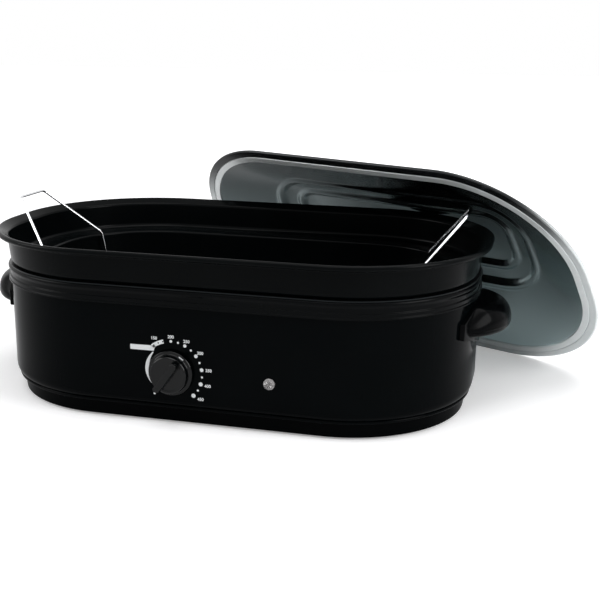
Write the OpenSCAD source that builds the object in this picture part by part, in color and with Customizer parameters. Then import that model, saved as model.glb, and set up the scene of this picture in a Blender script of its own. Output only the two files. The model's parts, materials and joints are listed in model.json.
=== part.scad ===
// Electric roaster oven: housing with a lift-out pan, wire rack and lift-off lid.
// Origin: on the counter under the centre of the housing. +X right, -Y front, +Z up.

/* [Body] */
// Length of the housing over its end walls
body_length = 530; // [450:5:600]
// Width of the housing over its front and back walls
body_width = 310; // [290:5:340]
// Corner radius of the housing seen from above
corner_radius = 140; // [120:1:145]
// Sheet thickness of housing, heat well, pan and lid
sheet = 1.2; // [1:0.1:1.6]
// Height of the housing's turned-in lip above the counter
lip_z = 18; // [16:0.5:24]
// Height where the housing wall becomes upright
wall_z = 40; // [34:1:48]
// Height of the top edge of the housing
housing_top = 146; // [135:1:160]
// Height where the trim band starts
band_z = 128; // [118:1:134]
// How far the trim band stands out of the wall
band_out = 3; // [2:0.1:4]
// How far the foot skirt is set in from the wall
skirt_in = 9; // [7:0.5:14]
// Gap between the foot skirt and the counter
skirt_gap = 2; // [1.5:0.1:3]

/* [Heat well and pan] */
// How far the heat well is set in from the wall
well_in = 27; // [25:0.5:32]
// Height of the underside of the heat well's floor
well_floor = 28.8; // [27:0.2:34]
// Height of the underside of the pan's floor
pan_floor = 36; // [34:0.5:42]
// Height of the pan's rim fold
fold_z = 177; // [165:1:190]
// How far the pan's rim bead stands out of the wall
rim_out = 13.6; // [11:0.2:16]
// Radius of the pan's rolled rim bead
bead_r = 3; // [2.4:0.1:3.4]

/* [Controls] */
// Knob centre, left or right of the middle
knob_x = -30; // [-60:1:60]
// Knob centre height
knob_z = 59; // [52:1:75]
// Diameter of the knob's skirt
knob_d = 48; // [40:1:56]
// Height of the knob over its skirt and grip
knob_h = 20; // [16:1:26]
// Radius of the thermostat shaft
shaft_r = 3; // [2.5:0.1:4]
// Angle of the knob's pointer at rest, counter-clockwise from the right
knob_rest = 234; // [200:1:270]
// Lamp centre, left or right of the middle
lamp_x = 74; // [50:1:110]
// Lamp centre height
lamp_z = 56; // [45:1:75]
// Lamp lens diameter
lamp_d = 12; // [10:0.5:16]
// Cord gland centre on the back wall
gland_x = -105; // [-110:1:-96]
// Cord gland centre height
gland_z = 62; // [54:1:75]
// Radius of the cord hole in the gland
cord_r = 4; // [3:0.1:5]

/* [Handles] */
// How far a carrying handle reaches out of the end wall
handle_out = 37; // [32:1:44]
// Half width of a carrying handle at the end wall
handle_half = 62; // [54:1:68]
// Height of a carrying handle's lower edge
handle_low = 80; // [74:1:84]
// Height of a carrying handle's top
handle_top = 121; // [112:1:124]
// Height of the crease where the grip turns under
grip_low = 94; // [90:1:98]
// Wall thickness of a carrying handle
handle_wall = 3; // [2.4:0.1:4]

/* [Rack] */
// Wire diameter of the rack's frame
frame_d = 4; // [3.5:0.1:5]
// Wire diameter of the rack's bars and lifters
wire_d = 3; // [2.6:0.1:4]
// Clearance of the rack frame from the pan wall
rack_gap = 8; // [5:0.5:14]
// Height of the rack's frame above the pan floor
rack_lift = 14; // [10:1:20]
// How far a lifter's pivot is beyond the body's straight part
pivot_out = 65; // [58:0.5:67]
// Distance of a lifter's pivot from the rack's corner along the bar
pivot_in = 12; // [10:0.5:20]
// Clearance between a lifter's bend and the pan wall
lifter_gap = 8; // [7:0.5:14]
// Height of a lifter's lower legs
lifter_low = 100; // [90:1:110]
// Length of a lifter's slanted top
lifter_up = 78; // [60:1:84]
// Outward slant of a lifter's top from its lower legs
lifter_slant = 32; // [20:1:40]
// Half width of a lifter's grip
lifter_top = 27; // [20:1:36]
// Lean of the left lifter
lean_left = 11; // [0:0.5:11]
// Lean of the right lifter
lean_right = 7; // [0:0.5:11]

/* [Lid] */
// How far the lid's rim stands out of the housing wall
lid_out = 9; // [6:0.5:11]
// Width of the lid's rim trim
lid_rim_w = 18; // [14:0.5:22]
// Height of the lid's crown over its mouth
lid_depth = 54.4; // [50:0.2:80]
// Lid rim centre, left or right of the middle
lid_x = 137.5; // [100:0.5:170]
// Tilt of the lid as it leans on the roaster
lid_tilt = 51; // [45:0.1:60]
// Turn of the lid seen from above
lid_turn = -25.3; // [-32:0.1:-18]
// Distance between the lid handle's feet
lid_foot_gap = 110; // [90:1:130]
// Height of the lid handle over the dome
lid_handle_h = 38; // [30:1:46]

/* [Hidden] */
$fn = 96;
sx = body_length / 2 - corner_radius;
sy = body_width / 2 - corner_radius;
half_x = body_length / 2;
half_y = body_width / 2;
cr = corner_radius;
function arc_pts(cx, cy, rx, ry, a0, a1, n) =
  [for (i = [0:n]) let (a = a0 + (a1 - a0) * i / n) [cx + rx * cos(a), cy + ry * sin(a)]];

// A profile (distance from the corner centre, height) carried round the oval.
module loop_sweep() {
  for (i = [0:3])
    translate([(i == 0 || i == 3) ? sx : -sx, i < 2 ? sy : -sy, 0])
      rotate([0, 0, 90 * i]) rotate_extrude(angle = 90) children();
  for (s = [0, 1])
    rotate([0, 0, 180 * s]) translate([sx, sy, 0])
      rotate([90, 0, 0]) linear_extrude(height = 2 * sy) children();
  for (s = [0, 1])
    rotate([0, 0, 180 * s]) translate([-sx, sy, 0])
      rotate([90, 0, 90]) linear_extrude(height = 2 * sx) children();
}

// The flat middle of a swept floor or crown.
module middle(z0, z1) {
  translate([-sx, -sy, z0]) cube([2 * sx, 2 * sy, z1 - z0]);
}

// A solid oval block, its wall set in from the housing wall.
module oval_block(inset, z0, z1) {
  loop_sweep() translate([0, z0]) square([cr - inset, z1 - z0]);
  middle(z0, z1);
}

// A cylinder along +Y from y0 to y1.
module bar_y(x, z, r, y0, y1) {
  translate([x, y1, z]) rotate([90, 0, 0]) cylinder(r = r, h = y1 - y0);
}

// A cylinder along +X from x0 to x1.
module bar_x(y, z, r, x0, x1) {
  translate([x0, y, z]) rotate([0, 90, 0]) cylinder(r = r, h = x1 - x0);
}

// Housing
bush_r = 5;
lens_stem_r = 4.5;
gland_r = 8;
front = -half_y;
screw_y = 34;
screw_z = 100;
base_screw_x = 90;
base_screw_y = half_y - skirt_in - 10;
lip_in = 26;

module outer_housing() {
  bend = arc_pts(cr - skirt_in + 1, wall_z, skirt_in - 1, wall_z - lip_z, -90, 0, 6);
  bend_in = arc_pts(cr - skirt_in + 1, wall_z, skirt_in - 1 - sheet,
    wall_z - lip_z - sheet, 0, -90, 6);
  color("#0c0d0f") difference() {
    loop_sweep() polygon(concat([[cr - lip_in, lip_z]], bend, [[cr, housing_top],
      [cr - sheet, housing_top]], bend_in, [[cr - lip_in, lip_z + sheet]]));
    bar_y(knob_x, knob_z, bush_r, front - 5, front + 5);
    bar_y(lamp_x, lamp_z, lens_stem_r, front - 5, front + 5);
    bar_y(gland_x, gland_z, gland_r, half_y - 5, half_y + 5);
    for (s = [-1, 1])
      for (t = [-1, 1])
        bar_x(t * screw_y, screw_z, 2, s > 0 ? half_x - 12 : -half_x - 8,
          s > 0 ? half_x + 8 : -half_x + 12);
    for (s = [-1, 1])
      for (t = [-1, 1])
        translate([s * base_screw_x / 2, t * base_screw_y, lip_z - 1])
          cylinder(r = 1.75, h = 4);
  }
}

module trim_band() {
  h = housing_top - band_z;
  color("#16181b") loop_sweep() polygon(concat([[cr, band_z]],
    [[cr + band_out - 1, band_z], [cr + band_out - 0.3, band_z + 0.7]],
    [[cr + band_out - 0.3, band_z + h * 0.35], [cr + band_out - 1, band_z + h * 0.5]],
    [[cr + band_out - 1, band_z + h * 0.66]],
    arc_pts(cr + band_out - 2, band_z + h - 2.6, 2, 2.6, -30, 90, 6),
    [[cr, housing_top]]));
}

module base_plate() {
  r1 = cr - skirt_in + 1;
  color("#17181a") difference() {
    union() {
      loop_sweep() polygon([[0, lip_z - sheet], [r1 - sheet, lip_z - sheet],
        [r1 - sheet - 1.5, skirt_gap], [r1 - 1.5, skirt_gap], [r1, lip_z], [0, lip_z]]);
      middle(lip_z - sheet, lip_z);
    }
    for (s = [-1, 1])
      for (t = [-1, 1])
        translate([s * base_screw_x / 2, t * base_screw_y, lip_z - 4])
          cylinder(r = 1.75, h = 8);
    for (i = [-4:4])
      translate([i * 22 - 2.5, -25, lip_z - 4]) cube([5, 50, 8]);
  }
}

foot_x = sx + 62;
foot_y = sy + 62;
module rubber_feet() {
  color("#1b1b1c")
    for (s = [-1, 1])
      for (t = [-1, 1])
        translate([s * foot_x, t * foot_y, 0]) rotate_extrude()
          polygon([[0, 0], [8, 0], [9, 1], [11, lip_z - sheet], [0, lip_z - sheet]]);
}

module base_screws() {
  color("#8d9094")
    for (s = [-1, 1])
      for (t = [-1, 1])
        translate([s * base_screw_x / 2, t * base_screw_y, 0]) difference() {
          union() {
            translate([0, 0, lip_z - sheet - 2.4]) cylinder(r = 3.4, h = 2.4);
            translate([0, 0, lip_z - sheet]) cylinder(r = 1.75, h = 3.4);
          }
          translate([-2.6, -0.4, lip_z - sheet - 3]) cube([5.2, 0.8, 1.6]);
          translate([-0.4, -2.6, lip_z - sheet - 3]) cube([0.8, 5.2, 1.6]);
        }
}

// Heat well and what is wrapped round it
well_r = cr - well_in;
well_top = housing_top + sheet;
module heat_well() {
  color("#85888c") union() {
    loop_sweep() polygon(concat([[0, well_floor]],
      arc_pts(well_r - 12, well_floor + 12, 12, 12, -90, 0, 6),
      [[well_r, housing_top], [cr + 1, housing_top], [cr + 1, well_top],
       [well_r - sheet, well_top]],
      arc_pts(well_r - 12, well_floor + 12, 12 - sheet, 12 - sheet, 0, -90, 6),
      [[0, well_floor + sheet]]));
    middle(well_floor, well_floor + sheet);
  }
}

blanket = 11;
module insulation() {
  color("#d8c98a") difference() {
    loop_sweep() translate([cr - sheet - blanket, wall_z + 4])
      square([blanket, housing_top - wall_z - 10]);
    translate([knob_x - 44, front - 1, 0]) cube([lamp_x - knob_x + 66, 40, 200]);
    translate([gland_x - 18, half_y - 30, 0]) cube([80, 31, 200]);
    for (s = [-1, 1])
      translate([s * (half_x - 15) - 16, -screw_y - 10, screw_z - 10])
        cube([32, 2 * screw_y + 20, 20]);
  }
}

band_low = 52;
band_tall = 34;
band_t = 2.4;
module heating_band() {
  color("#a08f6a") difference() {
    loop_sweep() translate([well_r, band_low]) square([band_t, band_tall]);
    translate([gland_x + 40, half_y - 40, band_low - 1]) cube([2, 40, band_tall + 2]);
  }
}

term_y = sy + well_r + band_t;
module band_terminals() {
  color("#b9a15c")
    for (x = [gland_x + 25, gland_x + 47])
      difference() {
        translate([x, term_y, band_low + 10]) cube([8, 8, 14]);
        translate([x + 1, term_y + 1, band_low + 9]) cube([8, 8, 12]);
      }
}

// Controls behind the front wall
wall_in = front + sheet;
stat_t = 16;
wire_in = 17;
tab_y = front + wire_in - 0.5;
module thermostat() {
  color("#cfc9b8") difference() {
    union() {
      translate([knob_x - 17, wall_in + 1.5, knob_z - 20]) cube([34, stat_t, 40]);
      bar_y(knob_x, knob_z, bush_r, front - 1.4, wall_in + 1.5);
      translate([knob_x - 12, tab_y, knob_z - 26]) cube([5, 1, 6]);
      translate([knob_x + 7, tab_y, knob_z - 26]) cube([5, 1, 6]);
    }
    bar_y(knob_x, knob_z, shaft_r + 0.05, front - 5, wall_in + 1.5 + stat_t - 3);
  }
}

module thermostat_bracket() {
  color("#9b9ea2") difference() {
    translate([knob_x - 28, wall_in, knob_z - 16]) cube([56, 1.5, 32]);
    bar_y(knob_x, knob_z, bush_r, wall_in - 1, wall_in + 3);
    for (s = [-1, 1])
      bar_y(knob_x + s * 23, knob_z, 1.6, wall_in - 1, wall_in + 3);
  }
}

shaft_in = wall_in + 1.5 + stat_t - 3.1;
knob_back = front - 2;
module thermostat_shaft() {
  color("#b4b6b9") bar_y(knob_x, knob_z, shaft_r, knob_back - 13, shaft_in);
}

// Knob: built along +Z at the origin, then stood on the front wall.
module control_knob() {
  r = knob_d / 2;
  color("#101113") translate([knob_x, knob_back, knob_z]) rotate([90, 0, 0])
    rotate([0, 0, knob_rest]) difference() {
      union() {
        rotate_extrude() polygon(concat([[0, 0], [r, 0], [r, 2.2], [r - 0.8, 3],
          [r - 3.4, 3.4]], arc_pts(r - 6.2, knob_h * 0.52 - 1.6, 1.6, 1.6, 10, 90, 4),
          [[0, knob_h * 0.52]]));
        intersection() {
          translate([-r + 4.4, -4.6, knob_h * 0.4]) cube([2 * r - 8.8, 9.2, knob_h * 0.6]);
          translate([0, 0, knob_h * 0.3]) cylinder(r = r - 4.4, h = knob_h * 0.7);
        }
      }
      translate([0, 0, -1]) cylinder(r = shaft_r, h = 14);
      translate([0, 0, -1]) difference() {
        cylinder(r = r - 6.6, h = knob_h * 0.52 - 1.4);
        cylinder(r = shaft_r + 2.4, h = knob_h);
      }
      translate([r - 13, -0.7, knob_h - 0.6]) cube([7.4, 1.4, 2]);
    }
}

module lamp_lens() {
  color("#c9cdd0") union() {
    bar_y(lamp_x, lamp_z, lens_stem_r, front, front + 4);
    translate([lamp_x, front, lamp_z]) rotate([90, 0, 0]) rotate_extrude()
      polygon([[0, 0], [lamp_d / 2, 0], [lamp_d / 2, 1.2], [lamp_d / 2 - 1, 2.2],
        [lamp_d / 2 - 3, 3.2], [0, 3.6]]);
  }
}

module lamp_body() {
  color("#d9d4c4") difference() {
    union() {
      bar_y(lamp_x, lamp_z, 7, wall_in, wall_in + 2);
      bar_y(lamp_x, lamp_z, 5.8, wall_in + 2, wall_in + 15);
    }
    bar_y(lamp_x, lamp_z, lens_stem_r, wall_in - 1, front + 4);
  }
}

block_z = lip_z + sheet;
module terminal_block() {
  color("#e2ddd0") difference() {
    translate([gland_x - 10, half_y - 24, block_z]) cube([36, 15, 14]);
    for (i = [0:2])
      translate([gland_x - 4 + 12 * i, half_y - 16.5, block_z + 5])
        cylinder(r = 2.4, h = 20);
  }
}

wire_z = block_z + 3;
module wiring() {
  color("#c9c3b4") union() {
    for (k = [0, 1])
      translate([0, 0, 4 * k]) {
        bar_x(half_y - wire_in, wire_z, 1.4, gland_x + 26, sx);
        translate([sx, sy, wire_z]) rotate_extrude(angle = 90)
          translate([cr - wire_in, 0]) circle(r = 1.4);
        translate([sx + cr - wire_in, sy, wire_z]) rotate([90, 0, 0])
          cylinder(r = 1.4, h = 2 * sy);
        translate([sx, -sy, wire_z]) rotate([0, 0, 270]) rotate_extrude(angle = 90)
          translate([cr - wire_in, 0]) circle(r = 1.4);
        bar_x(-half_y + wire_in, wire_z, 1.4, knob_x - 9.5 + 19 * k, sx);
        translate([knob_x - 9.5 + 19 * k, -half_y + wire_in, wire_z])
          cylinder(r = 1.4, h = knob_z - 26 - wire_z - 4 * k);
      }
  }
}

module cord_gland() {
  color("#141414") difference() {
    union() {
      bar_y(gland_x, gland_z, gland_r, half_y - 8, half_y + 1);
      bar_y(gland_x, gland_z, gland_r + 3, half_y, half_y + 3);
      bar_y(gland_x, gland_z, gland_r + 2, half_y - sheet - 4, half_y - sheet);
    }
    bar_y(gland_x, gland_z, cord_r, half_y - 20, half_y + 10);
  }
}

// Carrying handles: a hood swept round an arc, open below for the fingers
arc_r = (pow(handle_half, 2) + pow(handle_out, 2)) / (2 * handle_out);
arc_x = half_x + handle_out - arc_r;
boss_r = 5.5;
rib_t = 2;
module handle_hood() {
  w = handle_wall;
  up = handle_top - 20;
  under = grip_low - handle_low;
  translate([arc_x, 0, 0]) rotate_extrude() polygon(concat([[0, handle_top]],
    arc_pts(arc_r - 16, up, 16, 20, 90, 0, 6),
    [[arc_r, grip_low + 1.4], [arc_r - 0.8, grip_low + 0.4]],
    arc_pts(arc_r - 12, grip_low, 11.2, under, 0, -80, 6),
    arc_pts(arc_r - 12, grip_low, 11.2 - w, under - w, -80, 0, 6),
    [[arc_r - w, grip_low + 1.4]],
    arc_pts(arc_r - 16, up, 16 - w, 20 - w, 0, 90, 6), [[0, handle_top - w]]));
}

// A mounting plate that follows the end wall and flares towards its lower edge.
module handle_plate() {
  intersection() {
    loop_sweep() translate([cr - 1, handle_low - 4]) square([6, handle_top - handle_low + 4]);
    translate([half_x - 60, 0, 0]) rotate([90, 0, 90]) linear_extrude(height = 90)
      polygon([[-handle_half - 8, handle_low - 4], [handle_half + 8, handle_low - 4],
        [handle_half + 6, handle_low + 6], [handle_half - 10, handle_top],
        [-handle_half + 10, handle_top], [-handle_half - 6, handle_low + 6]]);
  }
}

module handle_shape() {
  difference() {
    union() {
      handle_hood();
      handle_plate();
      for (t = [-1, 1])
        bar_x(t * screw_y, screw_z, boss_r, half_x - 10, half_x + 9);
      for (y = [-22, 0, 22])
        translate([half_x - 5, y - rib_t / 2, handle_top - 12])
          cube([arc_x + sqrt(pow(arc_r - 12, 2) - pow(y, 2)) - half_x + 5, rib_t, 9.5]);
    }
    for (t = [-1, 1])
      bar_x(t * screw_y, screw_z, 2, half_x - 30, half_x + 6);
    oval_block(0, 0, 200);
  }
}

module handle_right() {
  color("#121315") handle_shape();
}

module handle_left() {
  color("#121315") mirror([1, 0, 0]) handle_shape();
}

module handle_screw() {
  x0 = sx + sqrt(pow(cr, 2) - pow(screw_y - sy, 2));
  bar_x(screw_y, screw_z, 2, x0 - sheet - 0.65, half_x + 6);
  bar_x(screw_y, screw_z, 4, x0 - sheet - 3.2, x0 - sheet - 0.65);
}

module handle_screws() {
  color("#8d9094")
    for (m = [0, 1])
      for (t = [0, 1])
        mirror([m, 0, 0]) mirror([0, t, 0]) handle_screw();
}

// Pan
module roasting_pan() {
  r0 = cr - well_in - sheet - 3;
  r1 = r0 - 4;
  z1 = pan_floor + 16;
  color("#0e0f11") union() {
    loop_sweep() polygon(concat([[0, pan_floor]],
      arc_pts(r1 - 16, z1, 16, 16, -90, 0, 6),
      [[r0, well_top], [cr - 6, well_top]],
      arc_pts(cr - 6, well_top + 6, 6, 6, -75, 0, 5),
      [[cr + 2.4, fold_z], [bead_c, bead_z - 1], [bead_c, bead_z + 1]],
      [[cr + 2.4 - 2, fold_z + 1], [cr - sheet, well_top + 6]],
      arc_pts(cr - 6, well_top + 6, 6 - sheet, 6 - sheet, 0, -90, 6),
      [[r0 - sheet, well_top + sheet]],
      arc_pts(r1 - 16, z1, 16 - sheet, 16 - sheet, 0, -90, 6),
      [[0, pan_floor + sheet]]));
    loop_sweep() translate([bead_c, bead_z]) circle(r = bead_r);
    middle(pan_floor, pan_floor + sheet);
  }
}

// Rack
pan_top = pan_floor + sheet;
leg_in = 8;
rack_r = cr - well_in - sheet - 3 - 4 - sheet - rack_gap - frame_d / 2;
frame_z = pan_top + rack_lift;
bar_z = frame_z + frame_d / 2 + wire_d / 2 - 0.8;
pivot_z = bar_z;
pivot_x = sx + pivot_out;
function reach(x) = sy + sqrt(pow(rack_r, 2) - pow(max(abs(x) - sx, 0), 2));
module roasting_rack() {
  color("#c9ccd0") union() {
    loop_sweep() translate([rack_r, frame_z]) circle(r = frame_d / 2);
    for (i = [-5:5])
      bar_y(i * pivot_x / 5, bar_z, wire_d / 2, -reach(i * pivot_x / 5),
        reach(i * pivot_x / 5));
    for (y = [-58, 0, 58])
      bar_x(y, bar_z - wire_d + 0.6, wire_d / 2, -sx - sqrt(pow(rack_r, 2)
        - pow(max(abs(y) - sy, 0), 2)), sx + sqrt(pow(rack_r, 2)
        - pow(max(abs(y) - sy, 0), 2)));
    for (i = [-3, 3])
      for (t = [-1, 1])
        translate([i * pivot_x / 5, t * (sy + rack_r - leg_in), pan_top])
          cylinder(r = frame_d / 2, h = bar_z - pan_top);
  }
}

// A bent wire lifter, built upright over its pivot at the origin, slanting towards +X.
eye_r = wire_d / 2 + 0.3 + wire_d / 2;
pan_r = cr - well_in - sheet - 3 - sheet;
bend_x = pivot_x + lifter_low * sin(lean_left) - sx;
lifter_half = reach(pivot_x) - pivot_in;
lifter_wide = sy + sqrt(pow(pan_r, 2) - pow(bend_x, 2)) - wire_d / 2 - lifter_gap;
module wire_seg(p, q) {
  d = q - p;
  len = norm(d);
  translate(p) rotate([0, acos(d[2] / len), atan2(d[1], d[0])])
    cylinder(r = wire_d / 2, h = len);
}
module knot(p) {
  translate(p) sphere(r = wire_d / 2 + 0.15);
}
module lifter() {
  xs = lifter_up * sin(lifter_slant);
  zs = lifter_low + lifter_up * cos(lifter_slant);
  union() {
    wire_seg([xs, -lifter_top, zs], [xs, lifter_top, zs]);
    for (t = [-1, 1]) {
      wire_seg([0, t * lifter_wide, lifter_low], [xs, t * lifter_top, zs]);
      wire_seg([0, t * lifter_half, eye_r - 0.4], [0, t * lifter_wide, lifter_low]);
      knot([0, t * lifter_wide, lifter_low]);
      knot([xs, t * lifter_top, zs]);
      translate([0, t * lifter_half, 0]) rotate([90, 0, 0]) rotate_extrude()
        translate([eye_r, 0]) circle(r = wire_d / 2);
    }
  }
}

module rack_lifter_left() {
  color("#c9ccd0") translate([-pivot_x, 0, pivot_z]) rotate([0, -lean_left, 0])
    mirror([1, 0, 0]) lifter();
}

module rack_lifter_right() {
  color("#c9ccd0") translate([pivot_x, 0, pivot_z]) rotate([0, lean_right, 0]) lifter();
}

// Lid: its mouth is z = 0 and its dome rises along +Z, then it is stood up to lean.
trim_r = 2.2;
seat_z = 4.4;
lid_r = cr + lid_out;
lid_z = (sy + lid_r - trim_r) * sin(lid_tilt) - trim_r * cos(lid_tilt) + trim_r;
bead_c = cr + rim_out - bead_r;
bead_z = fold_z + 4.4;
nx = -sin(lid_turn) * sin(lid_tilt);
ny = cos(lid_turn) * sin(lid_tilt);
nz = cos(lid_tilt);
lean_gap = 1.1;
// The lid stands back just far enough for its crown to rest on the pan's rim bead.
lid_y = sy + (nx * (sx - lid_x) + bead_c * sin(lid_tilt) + nz * (bead_z - lid_z)
  + bead_r - (lid_depth - sheet - lean_gap)) / ny;
module lid_place() {
  translate([lid_x, lid_y, lid_z]) rotate([-lid_tilt, 0, lid_turn]) children();
}

// Dome height at an inset from the lid's edge, with two basting ridges pressed inwards.
ridge_1 = 91;
ridge_2 = 118.5;
function bump(d) = abs(d) < 6 ? -1.6 * (1 + cos(30 * d)) : 0;
function dome_z(i) = seat_z + (lid_depth - seat_z) * sin(90 * (i - lid_rim_w)
  / (lid_r - lid_rim_w)) + bump(i - ridge_1) + bump(i - ridge_2);
insets = [22, 30, 38, 47, 56, 66, 76, 85, 87, 89, 91, 93, 95, 97, 105, 112.5, 114.5,
  116.5, 118.5, 120.5, 122.5, 124.5, 136];
module lid_dome() {
  top = [for (i = insets) [lid_r - i, dome_z(i)]];
  under = [for (k = [len(insets) - 1:-1:0]) [lid_r - insets[k],
    dome_z(insets[k]) - sheet]];
  color("#0f1012") lid_place() difference() {
    union() {
      loop_sweep() polygon(concat([[lid_r - 4, seat_z - sheet], [lid_r - 4, seat_z],
        [lid_r - lid_rim_w, seat_z]], top, [[0, lid_depth], [0, lid_depth - sheet]],
        under, [[lid_r - lid_rim_w, seat_z - sheet]]));
      middle(lid_depth - sheet, lid_depth);
    }
    for (s = [-1, 1])
      translate([s * lid_foot_gap / 2, 0, lid_depth - 10]) cylinder(r = 2.2, h = 20);
  }
}

module lid_rim_trim() {
  color("#c4c8cb") lid_place() loop_sweep() polygon(concat(
    [[lid_r - lid_rim_w, 0.4], [lid_r - 10, 0.4], [lid_r - 9.6, 1.2], [lid_r - 9.2, 0.2]],
    arc_pts(lid_r - trim_r, trim_r, trim_r, trim_r, -90, 90, 8),
    [[lid_r - 4, seat_z], [lid_r - 4, seat_z - sheet],
     [lid_r - lid_rim_w, seat_z - sheet]]));
}

module lid_handle() {
  g = lid_foot_gap / 2;
  h = lid_handle_h;
  color("#121315") lid_place() translate([0, 0, lid_depth]) difference() {
    union() {
      for (s = [-1, 1]) {
        translate([s * g, 0, 1]) cylinder(r = 9, h = h - 12);
        translate([s * g, 0, h - 11]) cylinder(r = 13, h = 11);
      }
      translate([-g, -13, h - 11]) cube([2 * g, 26, 11]);
    }
    translate([-g, -9, h - 12]) cube([2 * g, 18, 5]);
    for (s = [-1, 1])
      translate([s * g, 0, 0]) cylinder(r = 2.2, h = 16);
  }
}

module lid_washers() {
  color("#a9acb0") lid_place() translate([0, 0, lid_depth])
    for (s = [-1, 1])
      translate([s * lid_foot_gap / 2, 0, 0]) difference() {
        cylinder(r = 10.5, h = 1);
        translate([0, 0, -1]) cylinder(r = 2.2, h = 3);
      }
}

module lid_screws() {
  color("#b4b6b9") lid_place()
    for (s = [-1, 1])
      translate([s * lid_foot_gap / 2, 0, lid_depth - sheet]) difference() {
        union() {
          rotate_extrude() polygon([[0, 0], [4.6, 0], [4, -1.6], [2.4, -2.4], [0, -2.4]]);
          cylinder(r = 2.2, h = 17);
        }
        translate([-3, -0.5, -3]) cube([6, 1, 1.5]);
      }
}

outer_housing();
trim_band();
base_plate();
rubber_feet();
base_screws();
heat_well();
insulation();
heating_band();
band_terminals();
thermostat();
thermostat_bracket();
thermostat_shaft();
control_knob();
lamp_lens();
lamp_body();
terminal_block();
wiring();
cord_gland();
handle_left();
handle_right();
handle_screws();
roasting_pan();
roasting_rack();
rack_lifter_left();
rack_lifter_right();
lid_dome();
lid_rim_trim();
lid_handle();
lid_washers();
lid_screws();
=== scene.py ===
"""Dresses the electric roaster oven: enamelled shells, dial, lens, handles, wire rack and lid."""
import json
import logging
import math
from dataclasses import dataclass, field
from enum import Enum
from typing import Callable

import bmesh
import bpy
from bmesh import ops
from bmesh.types import BMEdge, BMesh, BMFace, BMVert
from bpy.types import ID, Material, Mesh, Node, Nodes, NodeSocket, Object
from mathutils import Matrix, Vector


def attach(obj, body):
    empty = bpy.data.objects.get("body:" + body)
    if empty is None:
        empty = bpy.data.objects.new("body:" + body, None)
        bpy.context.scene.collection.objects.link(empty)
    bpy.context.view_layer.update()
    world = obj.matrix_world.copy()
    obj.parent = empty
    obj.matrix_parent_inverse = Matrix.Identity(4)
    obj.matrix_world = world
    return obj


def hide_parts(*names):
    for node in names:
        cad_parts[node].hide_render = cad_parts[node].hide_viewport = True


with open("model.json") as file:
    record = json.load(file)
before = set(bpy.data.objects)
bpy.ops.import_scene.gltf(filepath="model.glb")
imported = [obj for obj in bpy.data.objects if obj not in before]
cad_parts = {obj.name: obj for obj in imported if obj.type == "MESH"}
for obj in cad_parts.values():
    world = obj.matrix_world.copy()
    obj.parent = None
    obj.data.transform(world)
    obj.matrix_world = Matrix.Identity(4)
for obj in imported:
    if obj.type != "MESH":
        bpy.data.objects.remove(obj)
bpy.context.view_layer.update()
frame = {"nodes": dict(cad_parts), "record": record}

MM = 0.001
LOG = logging.getLogger("roaster")
UPRIGHT = Matrix.Rotation(math.pi / 2, 4, "X")
BROAD_SCALE = 9.0
BUMP_DEPTH = 0.0004
# the near-black colour that painted shade darkens a finish towards
PAINTED_SHADE_COLOUR = (0.012, 0.014, 0.015, 1.0)
WELD = 0.0005


def put(node: Node, values: dict[str, object]) -> None:
    """Sets values straight on a node's sockets."""
    for name, value in values.items():
        node.inputs[name].default_value = value


def add(nodes: Nodes, kind: str, values: dict[str, object] | None = None) -> Node:
    """Adds a shader node.

    Args:
        nodes: the node list.
        kind: the node's type, without ShaderNode.
        values: the values of its sockets by name.

    Returns:
        The node.
    """
    node = nodes.new("ShaderNode" + kind)
    put(node, values or {})
    return node


def join(start: NodeSocket, end: NodeSocket) -> None:
    """Links two sockets of one material or world."""
    start.id_data.links.new(start, end)


def linked(name: str, data: ID) -> Object:
    """Makes an object and links it to the scene.

    Args:
        name: its name.
        data: its mesh, lamp or camera.

    Returns:
        The object.
    """
    obj = bpy.data.objects.new(name, data)
    bpy.context.scene.collection.objects.link(obj)
    return obj


class Grain(Enum):
    """The fine surface structure of a finish."""

    ORANGE_PEEL = "orange peel"
    BRUSHED = "brushed"
    MOULDED = "moulded"
    FIBRE = "fibre"
    MARBLED = "marbled"


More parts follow.
